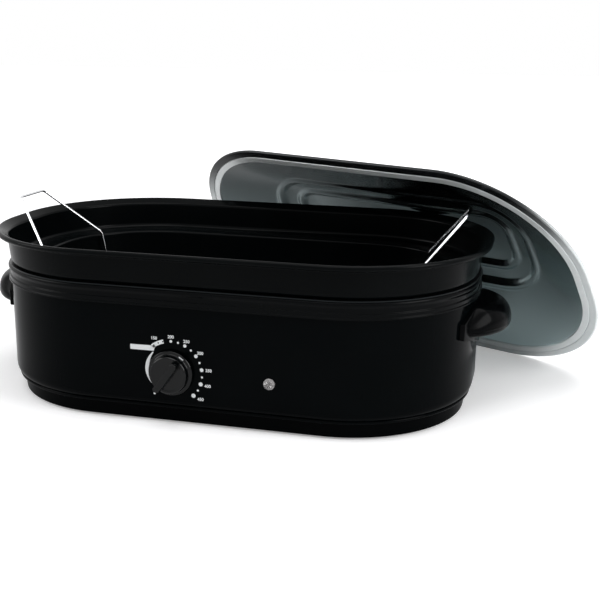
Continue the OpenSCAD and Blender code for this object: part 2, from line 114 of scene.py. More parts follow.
@dataclass(frozen=True)
class Finish:
    """One procedural finish: a shader, its grain, how much its roughness and colour vary, and any
    painted shade that darkens it upwards.
    """

    name: str
    colour: tuple[float, float, float]
    second: tuple[float, float, float]
    roughness: float
    spread: float
    grain: Grain
    scale: float
    bump: float
    metallic: float = 0.0
    specular: float = 0.5
    transmission: float = 0.0
    stretch: tuple[float, float, float] = (1.0, 1.0, 1.0)
    # heights between which painted shade darkens the colour upwards; equal heights paint none
    painted_shade_heights: tuple[float, float] = (0.0, 0.0)

    def build(self) -> Material:
        """Makes the node material.

        Returns:
            The material, made once and then found again by its name.
        """
        name = f"{self.name}_finish"
        found = bpy.data.materials.get(name)
        if found is not None:
            return found
        material = bpy.data.materials.new(name)
        material.use_nodes = True
        nodes = material.node_tree.nodes
        shader = nodes["Principled BSDF"]
        put(shader, {"Metallic": self.metallic, "Specular IOR Level": self.specular,
                     "Transmission Weight": self.transmission})
        place = add(nodes, "TexCoord")
        mapping = add(nodes, "Mapping", {"Scale": self.stretch})
        join(place.outputs["Object"], mapping.inputs["Vector"])
        fine = self._fine(nodes)
        broad = add(nodes, "TexNoise", {"Scale": BROAD_SCALE, "Detail": 5.0})
        for texture in (fine, broad):
            join(mapping.outputs["Vector"], texture.inputs["Vector"])
        mix = nodes.new("ShaderNodeMix")
        mix.data_type = "RGBA"
        mix.inputs[6].default_value = (*self.colour, 1.0)
        mix.inputs[7].default_value = (*self.second, 1.0)
        blend = add(nodes, "MapRange", {"From Min": 0.35, "From Max": 0.7})
        source = fine if self.grain in (Grain.MARBLED, Grain.FIBRE) else broad
        join(source.outputs[0], blend.inputs["Value"])
        join(blend.outputs["Result"], mix.inputs["Factor"])
        tint = mix.outputs[2]
        # painted shade: the colour darkens upwards between two heights
        if self.painted_shade_heights[1] > self.painted_shade_heights[0]:
            tint = self._painted_shade(nodes, place.outputs["Object"], tint)
        join(tint, shader.inputs["Base Color"])
        rough = add(nodes, "MapRange", {"To Min": self.roughness - self.spread,
                                        "To Max": self.roughness + self.spread})
        join(broad.outputs[0], rough.inputs["Value"])
        join(rough.outputs["Result"], shader.inputs["Roughness"])
        bump = add(nodes, "Bump", {"Strength": self.bump, "Distance": BUMP_DEPTH})
        join(fine.outputs[0], bump.inputs["Height"])
        join(bump.outputs["Normal"], shader.inputs["Normal"])
        return material

    def _painted_shade(self, nodes: Nodes, place: NodeSocket, tint: NodeSocket) -> NodeSocket:
        """Paints shade into a colour: darkens it upwards between two heights.

        Args:
            nodes: the node list of the material.
            place: the socket with the object's coordinates.
            tint: the colour's socket.

        Returns:
            The socket of the colour with its painted shade.
        """
        split = add(nodes, "SeparateXYZ")
        join(place, split.inputs[0])
        span = add(nodes, "MapRange", {"From Min": self.painted_shade_heights[0], "From Max": self.painted_shade_heights[1]})
        span.interpolation_type = "SMOOTHSTEP"
        join(split.outputs["Z"], span.inputs["Value"])
        mix = nodes.new("ShaderNodeMix")
        mix.data_type = "RGBA"
        mix.inputs[7].default_value = PAINTED_SHADE_COLOUR
        join(span.outputs["Result"], mix.inputs["Factor"])
        join(tint, mix.inputs[6])
        return mix.outputs[2]

    def _fine(self, nodes: Nodes) -> Node:
        """Makes the texture of the grain.

        Args:
            nodes: the node list of the material.

        Returns:
            A texture node whose first output is the grain's height.
        """
        if self.grain is Grain.FIBRE:
            return add(nodes, "TexWave", {"Scale": self.scale, "Distortion": 9.0,
                                          "Detail": 4.0})
        detail = 2.0 if self.grain is Grain.ORANGE_PEEL else 6.0
        return add(nodes, "TexNoise", {"Scale": self.scale, "Detail": detail})


BODY_ENAMEL = Finish(
    "enamel_body", (0.0006, 0.0011, 0.0013), (0.0010, 0.0016, 0.0019), 0.13, 0.03,
    Grain.ORANGE_PEEL, 260.0, 0.05, specular=0.024)
PAN_ENAMEL = Finish(
    "enamel_pan", (0.0010, 0.0015, 0.0017), (0.0018, 0.0024, 0.0026), 0.2, 0.05, Grain.ORANGE_PEEL,
    420.0, 0.09, specular=0.04)
# painted shade: the lid's inside darkens upwards from 30 mm to 255 mm above the floor
LID_ENAMEL = Finish(
    "enamel_lid", (0.72, 0.86, 0.87), (0.78, 0.92, 0.93), 0.21, 0.03, Grain.ORANGE_PEEL, 300.0,
    0.03, metallic=1.0, painted_shade_heights=(0.03, 0.255))
# painted shade: the heat well's flange darkens towards its top, from 143.5 mm to 145.5 mm, in the
# gap under the pan's collar
WELL_STEEL = Finish(
    "well_steel", (0.50, 0.51, 0.52), (0.40, 0.41, 0.42), 0.34, 0.08, Grain.BRUSHED, 900.0, 0.06,
    metallic=0.9, stretch=(1.0, 1.0, 14.0), painted_shade_heights=(0.1435, 0.1455))
TRIM_ENAMEL = Finish(
    "enamel_trim", (0.0008, 0.0012, 0.0014), (0.0012, 0.0017, 0.0020), 0.22, 0.04,
    Grain.ORANGE_PEEL, 260.0, 0.05, specular=0.05)
BASE_BLACK = Finish(
    "base_black", (0.0008, 0.0011, 0.0013), (0.0014, 0.0018, 0.0020), 0.26, 0.06, Grain.MOULDED,
    700.0, 0.1, specular=0.014)
BARE_STEEL = Finish(
    "bare_steel", (0.52, 0.53, 0.54), (0.42, 0.43, 0.44), 0.34, 0.08, Grain.BRUSHED, 900.0, 0.06,
    metallic=1.0, stretch=(1.0, 1.0, 14.0))
RIM_STEEL = Finish(
    "rim_steel", (0.93, 0.96, 0.96), (0.87, 0.92, 0.92), 0.25, 0.05, Grain.BRUSHED, 500.0, 0.03,
    metallic=0.45, stretch=(1.0, 1.0, 6.0))
# painted shade: the rim's rolled edge darkens upwards from 150 mm to 235 mm above the floor
RIM_ROLL = Finish(
    "rim_roll", (0.86, 0.90, 0.90), (0.80, 0.85, 0.85), 0.22, 0.05, Grain.BRUSHED, 500.0, 0.03,
    metallic=0.55, stretch=(1.0, 1.0, 6.0), painted_shade_heights=(0.15, 0.235))
CHROME = Finish(
    "chrome_wire", (0.80, 0.81, 0.83), (0.72, 0.73, 0.75), 0.1, 0.04, Grain.BRUSHED, 300.0, 0.02,
    metallic=1.0)
PHENOLIC = Finish(
    "black_phenolic", (0.0008, 0.0010, 0.0012), (0.0016, 0.0018, 0.0020), 0.2, 0.06, Grain.MOULDED,
    900.0, 0.08, specular=0.035)
KNOB_PLASTIC = Finish(
    "knob_plastic", (0.0008, 0.0012, 0.0014), (0.0014, 0.0018, 0.0020), 0.15, 0.04, Grain.MOULDED,
    700.0, 0.05, specular=0.22)
RUBBER = Finish(
    "black_rubber", (0.012, 0.012, 0.012), (0.02, 0.02, 0.02), 0.7, 0.08, Grain.MOULDED, 1200.0,
    0.3)
WOOL = Finish(
    "glass_wool", (0.70, 0.56, 0.25), (0.82, 0.72, 0.42), 0.95, 0.04, Grain.FIBRE, 160.0, 0.8)
MICA = Finish(
    "mica_band", (0.34, 0.25, 0.13), (0.52, 0.41, 0.24), 0.45, 0.1, Grain.MARBLED, 70.0, 0.2)
BRASS = Finish(
    "brass_tab", (0.66, 0.49, 0.21), (0.56, 0.40, 0.17), 0.3, 0.08, Grain.BRUSHED, 900.0, 0.05,
    metallic=1.0)
STEATITE = Finish(
    "steatite", (0.72, 0.68, 0.58), (0.62, 0.58, 0.50), 0.6, 0.08, Grain.MOULDED, 600.0, 0.15)
LENS = Finish(
    "lamp_clear", (0.26, 0.25, 0.25), (0.36, 0.35, 0.35), 0.1, 0.04, Grain.MOULDED, 500.0, 0.03,
    specular=1.0, transmission=0.2)
SLEEVE = Finish(
    "wire_sleeve", (0.62, 0.58, 0.50), (0.50, 0.46, 0.38), 0.7, 0.08, Grain.FIBRE, 900.0, 0.5)
PRINT = Finish(
    "print_white", (0.80, 0.82, 0.83), (0.70, 0.72, 0.73), 0.5, 0.05, Grain.MOULDED, 900.0, 0.04)
BY_SLOT: dict[str, Finish] = {f.name: f for f in (
    BASE_BLACK, BARE_STEEL, RIM_STEEL, CHROME, PHENOLIC, RUBBER, WOOL, MICA, BRASS, STEATITE,
    LENS, SLEEVE)} | {"black_enamel": BODY_ENAMEL}


@dataclass(frozen=True)
class Station:
    """One corner of a swept profile, in millimetres.

    Attributes:
        out: distance from the centre of the plan's corner.
        up: height.
        fillet: how far the corner is rounded along its two sides.
    """

    out: float
    up: float
    fillet: float = 0.0


def arc(cx: float, cz: float, rx: float, rz: float, start: float, end: float,
        steps: int) -> list[Station]:
    """Lists stations along part of an ellipse.

    Args:
        cx: centre's distance from the plan's corner centre.
        cz: centre's height.
        rx: radius outwards.
        rz: radius upwards.
        start: first angle in degrees.
        end: last angle in degrees.
        steps: number of steps between them.

    Returns:
        The stations from start to end.
    """
    turns = [math.radians(start + (end - start) * i / steps) for i in range(steps + 1)]
    return [Station(cx + rx * math.cos(t), cz + rz * math.sin(t)) for t in turns]


def only(geom: list[object], kind: type) -> list[object]:
    """Picks the elements of one kind."""
    return [g for g in geom if isinstance(g, kind)]


def whole(bm: BMesh) -> list[object]:
    """Lists all that a mesh holds."""
    return [*bm.verts, *bm.edges, *bm.faces]


def bevel(bm: BMesh, geom: list[object], width: float, segments: int,
          affect: str = "EDGES") -> None:
    """Rounds edges or corners.

    Args:
        bm: the mesh.
        geom: the edges or corners.
        width: how far the rounding reaches, in millimetres.
        segments: steps across it.
        affect: EDGES or VERTICES.
    """
    ops.bevel(bm, geom=geom, offset=width, offset_type="OFFSET", segments=segments,
              profile=0.5, affect=affect, material=-1, clamp_overlap=True)


def outline(bm: BMesh, stations: list[Station], at: tuple[float, float], segments: int,
            closed: bool) -> None:
    """Draws a profile standing upright and rounds its fillets.

    Args:
        bm: the mesh to draw in.
        stations: the profile's corners in order.
        at: where the profile's axis stands.
        segments: steps across each fillet.
        closed: whether the last corner joins the first.
    """
    verts = [bm.verts.new((at[0] + s.out, at[1], s.up)) for s in stations]
    for pair in zip(verts, verts[1:] + (verts[:1] if closed else [])):
        bm.edges.new(pair)
    for vert, station in zip(verts, stations):
        if station.fillet > 0:
            bevel(bm, [vert], station.fillet, segments, "VERTICES")


def take(bm: BMesh, mesh: Mesh) -> None:
    """Moves a stored mesh into a mesh that is being built."""
    bm.from_mesh(mesh)
    bpy.data.meshes.remove(mesh)


def absorb(bm: BMesh, part: BMesh) -> None:
    """Moves one mesh that is being built into another.

    Args:
        bm: the mesh that grows.
        part: the mesh that is added to it and freed.
    """
    mesh = bpy.data.meshes.new("part")
    part.to_mesh(mesh)
    part.free()
    take(bm, mesh)


def box(bm: BMesh, place: tuple[float, ...], size: tuple[float, ...]) -> None:
    """Adds a box about a point."""
    ops.create_cube(bm, size=1.0, matrix=Matrix.Translation(place)
                    @ Matrix.Diagonal((*size, 1.0)))


@dataclass(frozen=True)
class Plan:
    """The rounded rectangle that every shell of the roaster follows, in millimetres."""

    length: float = 530.0
    width: float = 310.0
    corner: float = 140.0

    @property
    def sx(self) -> float:
        """Half the length of the straight sides."""
        return self.length / 2 - self.corner

    @property
    def sy(self) -> float:
        """Half the length of the straight ends."""
        return self.width / 2 - self.corner

    def sweep(self, stations: list[Station], closed: bool = True, turns: int = 24) -> BMesh:
        """Carries a profile round the plan.

        Args:
            stations: the profile's corners in order.
            closed: whether the profile is a closed loop, or else starts and ends on the
                corner's centre and its middle is filled.
            turns: steps round each corner.

        Returns:
            A closed mesh in millimetres.
        """
        bm = bmesh.new()
        outline(bm, stations, (self.sx, self.sy), 4, closed)
        first = bm.edges[:]
        last = ops.spin(bm, geom=bm.verts[:] + first, cent=(self.sx, self.sy, 0.0),
                        axis=(0.0, 0.0, 1.0), angle=math.pi / 2, steps=turns,
                        use_duplicate=False)["geom_last"]
        for edges, step in ((only(last, BMEdge), (-self.sx, 0.0, 0.0)),
                            (first, (0.0, -self.sy, 0.0))):
            made = ops.extrude_edge_only(bm, edges=edges)["geom"]
            ops.translate(bm, verts=only(made, BMVert), vec=step)
        for axis in "XY":
            ops.mirror(bm, geom=whole(bm), axis=axis, merge_dist=2 * WELD)
        ops.remove_doubles(bm, verts=bm.verts[:], dist=2 * WELD)
        ops.dissolve_degenerate(bm, edges=bm.edges[:], dist=WELD)
        if not closed:
            rim = [e for e in bm.edges if e.is_boundary]
            ops.holes_fill(bm, edges=rim, sides=0)
        return bm


PLAN = Plan()


def round_profile(bm: BMesh, stations: list[Station], steps: int) -> None:
    """Spins a profile fully round the Z axis, as a lathe does.

    Args:
        bm: the mesh to draw in.
        stations: the profile, from the axis or back to it.
        steps: steps round the turn.
    """
    outline(bm, stations, (0.0, 0.0), 3, False)
    edges = [e for e in bm.edges if not e.link_faces and all(abs(v.co.y) < 1e-6 for v in e.verts)]
    ops.spin(bm, geom=list({v for e in edges for v in e.verts}) + edges,
             cent=(0.0, 0.0, 0.0), axis=(0.0, 0.0, 1.0), angle=math.tau, steps=steps,
             use_merge=True, use_duplicate=False)
    ops.remove_doubles(bm, verts=bm.verts[:], dist=WELD)


def soften(bm: BMesh, width: float, segments: int, least: float = 40.0) -> None:
    """Bevels the edges of a mesh that are sharper than an angle.

    Args:
        bm: the mesh.
        width: bevel width in millimetres.
        segments: steps across the bevel.
        least: the angle in degrees above which an edge is bevelled.
    """
    edges = [e for e in bm.edges if len(e.link_faces) == 2
             and e.calc_face_angle(0.0) > math.radians(least)]
    bevel(bm, edges, width, segments)


@dataclass
class Piece:
    """Where a finished mesh goes: its name, body, finish and the nodes it stands for."""

    name: str
    body: str
    finish: Finish
    slot: str
    replaces: tuple[str, ...] = ()
    place: Matrix = field(default_factory=lambda: Matrix.Identity(4))
    sharp: float = 35.0
    weighted: bool = True

    def make(self, bm: BMesh) -> Object:
        """Turns a mesh in millimetres into a placed, dressed and riding object in metres.

        Args:
            bm: the mesh, which is freed.

        Returns:
            The new object.
        """
        ops.remove_doubles(bm, verts=bm.verts[:], dist=WELD)
        ops.recalc_face_normals(bm, faces=bm.faces[:])
        mesh = bpy.data.meshes.new(self.name)
        bm.to_mesh(mesh)
        bm.free()
        mesh.transform(Matrix.Scale(MM, 4) @ self.place)
        mesh.materials.clear()
        mesh.materials.append(self.finish.build())
        mesh.polygons.foreach_set("use_smooth", [True] * len(mesh.polygons))
        mesh.set_sharp_from_angle(angle=math.radians(self.sharp))
        obj = linked(self.name, mesh)
        if self.weighted:
            normal = obj.modifiers.new("weighted", "WEIGHTED_NORMAL")
            normal.keep_sharp = True
        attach(obj, self.body)
        if self.replaces:
            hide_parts(*self.replaces)
        LOG.info("%s: %d faces on %s", self.name, len(mesh.polygons), self.body)
        return obj


def wire_mesh(paths: list[list[Vector]], radius: float, fillet: float) -> Mesh:
    """Bends round wire along paths.

    Args:
        paths: corner points of each wire in millimetres.
        radius: the wire's radius.
        fillet: how far each inner corner is rounded.

    Returns:
        A mesh of closed tubes in millimetres.
    """
    curve = bpy.data.curves.new("wire", "CURVE")
    curve.dimensions = "3D"
    curve.bevel_depth = radius
    curve.bevel_resolution = 4
    curve.use_fill_caps = True
    for points in paths:
        bm = bmesh.new()
        verts = [bm.verts.new(p) for p in points]
        for pair in zip(verts, verts[1:]):
            bm.edges.new(pair)
        for vert in verts[1:-1]:
            bevel(bm, [vert], fillet, 5, "VERTICES")
        ordered = ordered_path(verts[0])
        bm.free()
        spline = curve.splines.new("POLY")
        spline.points.add(len(ordered) - 1)
        for point, place in zip(spline.points, ordered):
            point.co = (*place, 1.0)
    holder = bpy.data.objects.new("wire", curve)
    mesh = bpy.data.meshes.new_from_object(holder)
    bpy.data.objects.remove(holder)
    bpy.data.curves.remove(curve)
    return mesh


def ordered_path(here: BMVert) -> list[Vector]:
    """Reads the points of an open chain of edges in order along it.

    Args:
        here: the end to begin at.

    Returns:
        The chain's points.
    """
    path, came = [here.co.copy()], None
    while True:
        onward = [e for e in here.link_edges if e is not came]
        if not onward:
            return path
        came = onward[0]
        here = came.other_vert(here)
        path.append(here.co.copy())


@dataclass
class HeatedBase:
    """The enamelled housing with its trim ring and handles."""

    sheet: float = 1.2
    lip_z: float = 18.0
    foot_turn: float = 13.0
    skirt_in: float = 9.0
    top: float = 146.0
    band_z: float = 128.0
    band_out: float = 3.0
    handle_out: float = 37.0
    handle_half: float = 62.0
    plate_low: float = 78.0
    handle_top: float = 121.0
    grip_low: float = 97.0
    grip_roll: float = 7.0
    brow: float = 44.0
    brow_drop: float = 14.0
    brow_run: float = 21.0
    crown_out: float = 16.0
    crown_up: float = 20.0
    root: float = 24.0
    swing: float = 84.0
    handle_wall: float = 3.0

    def build(self) -> None:
        """Builds the housing, the trim ring and both handles in order."""
        self.housing()
        self.trim_ring()
        for side in (1, -1):
            self.handle(side)

    def housing(self) -> None:
        """Builds the enamelled wall with its turned-in foot."""
        r, t = PLAN.corner, self.sheet
        deep, bend = self.skirt_in - 3.5, self.lip_z + self.foot_turn
        outer = arc(r - deep, bend, deep, self.foot_turn - 3.5, -72, 0, 10)
        inner = arc(r - deep, bend, deep - t, self.foot_turn - 3.5 - t, 0, -72, 10)
        stations = [
            Station(r - 26, self.lip_z),
            *arc(r - deep + 0.9, self.lip_z + 1.8, 1.8, 1.8, -90, 72, 8), *outer[1:],
            Station(r, self.top), Station(r - t, self.top), *inner,
            Station(r - deep, self.lip_z + t), Station(r - 26, self.lip_z + t)]
        Piece("housing_shell", "base", BODY_ENAMEL, "black_enamel",
              ("outer_housing",)).make(PLAN.sweep(stations))

    def trim_ring(self) -> None:
        """Builds the ring round the top of the housing: a bead, a hollow and a lower step."""
        r, out, z, top = PLAN.corner, self.band_out, self.band_z, self.top
        stations = [
            Station(r, z), Station(r + out - 0.1, z, 0.4), Station(r + out - 0.1, z + 1.6, 0.5),
            Station(r + out - 1.0, z + 2.2, 0.3), Station(r + out - 0.9, z + 6.0, 0.5),
            Station(r + out - 2.1, z + 6.9, 0.5), Station(r + out - 2.0, z + 11.4, 0.9),
            *arc(r + out - 2.4, top - 2.7, 2.3, 2.7, -40, 90, 9), Station(r, top)]
        Piece("trim_ring", "base", TRIM_ENAMEL, "black_enamel",
              ("trim_band",)).make(PLAN.sweep(stations))

    def handle(self, side: int) -> None:
        """Builds one carrying handle: an arched hood on a mounting plate.

        Args:
            side: 1 for the right end, -1 for the left.
        """
        half_x = PLAN.length / 2
        radius = (self.handle_half ** 2 + self.handle_out ** 2) / (2 * self.handle_out)
        centre = half_x + self.handle_out - radius
        w, wide, tall = self.handle_wall, self.crown_out, self.crown_up
        up, under = self.handle_top - tall, self.grip_roll
        stations = [
            Station(self.root, self.handle_top), *arc(radius - wide, up, wide, tall, 90, 0, 10),
            Station(radius, self.grip_low + 1.4), Station(radius - 0.8, self.grip_low + 0.4),
            *arc(radius - 12, self.grip_low, 11.2, under, -6, -80, 8),
            *arc(radius - 12, self.grip_low, 11.2 - w, under - w, -80, -6, 8),
            Station(radius - w, self.grip_low + 1.4),
            *arc(radius - wide, up, wide - w, tall - w, 0, 90, 10),
            Station(self.root, self.handle_top - w)]
        bm = bmesh.new()
        outline(bm, stations, (0.0, 0.0), 1, True)
        swing = math.radians(self.swing)
        ops.rotate(bm, verts=bm.verts[:], matrix=Matrix.Rotation(-swing, 3, "Z"))
        first = bm.edges[:]
        last = ops.spin(bm, geom=bm.verts[:] + first, cent=(0, 0, 0), axis=(0, 0, 1),
                        angle=2 * swing, steps=56, use_duplicate=False)["geom_last"]
        for edges in (first, only(last, BMEdge)):
            ops.edgeloop_fill(bm, edges=edges)
        ops.translate(bm, verts=bm.verts[:], vec=(centre, 0, 0))
        for vert in bm.verts:
            drop = self.brow_drop * max(abs(vert.co.y) - self.brow, 0.0) / self.brow_run
            vert.co.z -= drop * max(vert.co.z - self.grip_low, 0.0) / (
                self.handle_top - self.grip_low)
        hood = self.trimmed(bm)
        self.fittings(hood, centre, radius)
        if side < 0:
            ops.scale(hood, vec=(-1, 1, 1), verts=hood.verts[:])
        end = "right" if side > 0 else "left"
        Piece(f"handle_hood_{end}", "base", PHENOLIC, "black_phenolic",
              (f"handle_{end}",)).make(hood)

    def trimmed(self, bm: BMesh) -> BMesh:
        """Cuts away what would be inside the housing.

        Args:
            bm: a closed mesh in millimetres, which is freed.

        Returns:
            The mesh outside the housing wall.
        """
        ops.recalc_face_normals(bm, faces=bm.faces[:])
        block = PLAN.sweep([Station(0, 0), Station(PLAN.corner, 0), Station(PLAN.corner, 200),
                            Station(0, 200)], closed=False, turns=48)
        ops.recalc_face_normals(block, faces=block.faces[:])
        made = []
        for source, label in ((bm, "hood"), (block, "hood_cutter")):
            mesh = bpy.data.meshes.new(label)
            source.to_mesh(mesh)
            source.free()
            made.append(linked(label, mesh))
        cut = made[0].modifiers.new("cut", "BOOLEAN")
        cut.operation, cut.object, cut.solver = "DIFFERENCE", made[1], "EXACT"
        bpy.context.view_layer.update()
        result = bmesh.new()
        result.from_object(made[0], bpy.context.evaluated_depsgraph_get())
        for obj in made:
            mesh = obj.data
            bpy.data.objects.remove(obj)
            bpy.data.meshes.remove(mesh)
        return result

    def fittings(self, bm: BMesh, centre: float, radius: float) -> None:
        """Adds the mounting plate, the ribs under the roof and the screw bosses.

        Args:
            bm: the hood's mesh.
            centre: the arc's centre along X.
            radius: the arc's radius.
        """
        half_x = PLAN.length / 2
        plate = bmesh.new()
        low, top = self.plate_low, self.handle_top - 0.6
        corners = [(PLAN.corner + 0.05, low), (PLAN.corner + 5, low),
                   (PLAN.corner + 5, top), (PLAN.corner + 0.05, top)]
        verts = [plate.verts.new((PLAN.sx + r, PLAN.sy, z)) for r, z in corners]
        face = plate.faces.new(verts)
        first = face.edges[:]
        last = ops.spin(plate, geom=list(verts) + first, cent=(PLAN.sx, PLAN.sy, 0),
                        axis=(0, 0, 1), angle=math.radians(24), steps=10,
                        use_duplicate=False)["geom_last"]
        ops.delete(plate, geom=[face], context="FACES_ONLY")
        ops.edgeloop_fill(plate, edges=only(last, BMEdge))
        made = ops.extrude_edge_only(plate, edges=first)["geom"]
        ops.translate(plate, verts=only(made, BMVert), vec=(0, -PLAN.sy, 0))
        for y, z, ny, nz in ((46.0, top, 0.42, 0.91), (72.0, 100.0, 1.0, 0.06),
                             (71.0, 91.5, 0.26, -0.97)):
            cut = ops.bisect_plane(plate, geom=whole(plate), plane_co=(0, y, z),
                                   plane_no=(0, ny, nz), clear_outer=True)["geom_cut"]
            ops.holes_fill(plate, edges=only(cut, BMEdge), sides=0)
        ops.mirror(plate, geom=whole(plate), axis="Y", merge_dist=2 * WELD)
        ops.recalc_face_normals(plate, faces=plate.faces[:])
        soften(plate, 1.0, 2, 50)
        absorb(bm, plate)
        for y in (-22.0, 0.0, 22.0):
            reach = centre + math.sqrt((radius - 12) ** 2 - y * y)
            size = (reach - half_x - 2, 2.0, 9.5)
            box(bm, (half_x + 2 + size[0] / 2, y, self.handle_top - 12 + size[2] / 2), size)
        for y in (-34.0, 34.0):
            ops.create_cone(bm, cap_ends=True, segments=24, radius1=5.5, radius2=5.5,
                            depth=8.0, matrix=Matrix.Translation((half_x + 5, y, 100.0))
                            @ Matrix.Rotation(math.pi / 2, 4, "Y"))


@dataclass
class Dial:
    """The printed scale round the knob, the knob itself and the lamp lens."""

    x: float = -30.0
    z: float = 59.0
    wall: float = -155.0
    ring: float = 33.0
    knob_r: float = 24.0
    rest: float = 234.0
    lamp_x: float = 74.0
    lamp_z: float = 56.0
    lamp_r: float = 6.0
    ink: float = 0.12

    def face(self) -> Matrix:
        """Turns a drawing in X and Y into print on the front wall."""
        return Matrix.Translation((0, self.wall, 0)) @ UPRIGHT

    def printed(self, name: str, bm: BMesh, finish: Finish = PRINT,
                slot: str = "bare_steel") -> None:
        """Puts a drawing on the front wall as a piece of print."""
        Piece(name, "base", finish, slot, place=self.face(), weighted=False).make(bm)

    def thicken(self, bm: BMesh, faces: list[BMFace]) -> None:
        """Gives flat print the thickness of its ink."""
        out = ops.extrude_face_region(bm, geom=faces)["geom"]
        ops.translate(bm, verts=only(out, BMVert), vec=(0, 0, self.ink))

    def build(self) -> None:
        """Builds the print, the knob and the lens."""
        self.dots()
        self.numbers()
        self.bands()
        self.knob()
        self.lens()

    def around(self, angle: float, radius: float) -> tuple[float, float]:
        """Finds a point of the scale.

        Args:
            angle: degrees counter-clockwise from the right.
            radius: distance from the knob's centre.

        Returns:
            Its place on the wall across and up.
        """
        turn = math.radians(angle)
        return self.x + radius * math.cos(turn), self.z + radius * math.sin(turn)

    def scale_marks(self) -> list[tuple[int, float, float, tuple[float, float]]]:
        """Lists each number with its angle, dot radius and the number's offset from its dot."""
        shifts = [(-3.4, 5.6), (0.0, 4.6), (1.8, 4.6), (4.6, 3.4), (7.4, -0.2), (7.4, -1.6),
                  (7.6, -3.4)]
        dots = [0.0, 1.5, 1.75, 1.95, 2.0, 2.2, 2.3]
        return [(150 + 50 * i, 117.0 - 27.0 * i, dots[i], shifts[i]) for i in range(7)]

    def dots(self) -> None:
        """Prints a large dot at each number and a small one between."""
        bm = bmesh.new()
        spots = [(a, r) for _, a, r, _ in self.scale_marks() if r > 0]
        spots += [(90.0 - 13.5 - 27.0 * i, 1.15) for i in range(5)]
        spots.append((232.0, 1.15))
        for angle, radius in spots:
            x, z = self.around(angle, self.ring if angle < 200 else self.ring - 1.6)
            ops.create_cone(bm, cap_ends=True, segments=20, radius1=radius,
                            radius2=radius, depth=self.ink,
                            matrix=Matrix.Translation((x, z, self.ink / 2)))
        self.printed("scale_dots", bm)

    def numbers(self) -> None:
        """Prints the plain numbers of the scale."""
        merged = bmesh.new()
        for number, angle, _, (dx, dz) in self.scale_marks():
            x, z = self.around(angle, self.ring)
            curve = bpy.data.curves.new("number", "FONT")
            curve.body = str(number)
            curve.size = 4.5
            curve.align_x, curve.align_y = "CENTER", "CENTER"
            curve.offset = 0.12
            curve.extrude = self.ink / 2
            holder = bpy.data.objects.new("number", curve)
            mesh = bpy.data.meshes.new_from_object(holder)
            mesh.transform(Matrix.Translation((x + dx, z + dz, self.ink / 2)))
            bpy.data.objects.remove(holder)
            bpy.data.curves.remove(curve)
            take(merged, mesh)
        self.printed("scale_numbers", merged)

    def bands(self) -> None:
        """Prints the tapering band at the left and the plain label with its strip."""
        bm = bmesh.new()
        self.band(bm, 134.0, 211.0, 28.0, lambda t: 0.5 + 1.5 * math.sin(math.pi * t), 26,
                  drift=-2.2)
        self.band(bm, 104.0, 128.0, 33.2, lambda t: 2.1, 10)
        bar = [(-74.6, 80.3), (-49.0, 80.4), (-47.0, 86.0), (-74.6, 85.7)]
        self.thicken(bm, [bm.faces.new([bm.verts.new((x, z, 0)) for x, z in bar])])
        self.printed("scale_bands", bm)
        holes = bmesh.new()
        for angle in (124.0, 114.5, 105.5):
            x, z = self.around(angle, 33.2)
            ops.create_cone(holes, cap_ends=True, segments=16, radius1=0.75, radius2=0.75,
                            depth=0.05, matrix=Matrix.Translation((x, z, self.ink + 0.03)))
        self.printed("strip_dots", holes, BODY_ENAMEL, "black_enamel")

    def band(self, bm: BMesh, start: float, end: float, radius: float,
             half: Callable[[float], float], steps: int, drift: float = 0.0) -> None:
        """Draws a curved band of changing width.

        Args:
            bm: the mesh to draw in.
            start: first angle in degrees.
            end: last angle in degrees.
            radius: radius of its middle line.
            half: function of the way along, from 0 to 1, that gives half the width.
            steps: steps along it.
            drift: how much its radius grows from start to end.
        """
        rows = []
        for i in range(steps + 1):
            t = i / steps
            rows.append([bm.verts.new((*self.around(start + (end - start) * t,
                                                    radius + drift * t + s * half(t)), 0.0))
                         for s in (-1, 1)])
        self.thicken(bm, [bm.faces.new((a[0], a[1], b[1], b[0]))
                          for a, b in zip(rows, rows[1:])])

    def knob(self) -> None:
        """Builds the knob: a skirted disc with a dished face and a bar grip, and a thin white
        strip on the skirt at the bar's end, painted as a highlight.
        """
        r = self.knob_r
        bm = bmesh.new()
        stations = [
            Station(0, 0), Station(r, 0, 0.4), Station(r, 2.2, 0.8), Station(r - 1.0, 3.1, 0.5),
            Station(r - 3.4, 3.5, 1.2), Station(r - 4.3, 9.6, 1.2), Station(r - 6.0, 10.4, 0.6),
            Station(r - 9.0, 9.8, 1.0), Station(0, 9.2)]
        round_profile(bm, stations, 72)
        grip = bmesh.new()
        box(grip, (0.0, 0.0, 13.0), (2 * r - 8.8, 9.0, 14.0))
        top = [v for v in grip.verts if v.co.z > 13]
        ops.scale(grip, vec=(0.97, 0.78, 1.0), verts=top)
        ends = [e for e in grip.edges if abs(e.verts[0].co.x - e.verts[1].co.x) < 2
                and abs(e.verts[0].co.y - e.verts[1].co.y) < 2]
        bevel(grip, ends, 3.2, 5)
        soften(grip, 0.9, 3, 50)
        absorb(bm, grip)
        place = (Matrix.Translation((self.x, self.wall - 2.0, self.z)) @ UPRIGHT
                 @ Matrix.Rotation(math.radians(self.rest), 4, "Z"))
        Piece("dial_knob", "knob", KNOB_PLASTIC, "black_phenolic", ("control_knob",),
              place).make(bm)
        # painted highlight: a thin white strip on the skirt at the bar's end, lying across the
        # radius
        painted_glint = bmesh.new()
        box(painted_glint, (2.7 - r, 0.0, 3.62), (1.3, 5.4, 0.5))
        soften(painted_glint, 0.1, 2)
        Piece("knob_painted_highlight", "knob", PRINT, "bare_steel", place=place, weighted=False).make(painted_glint)

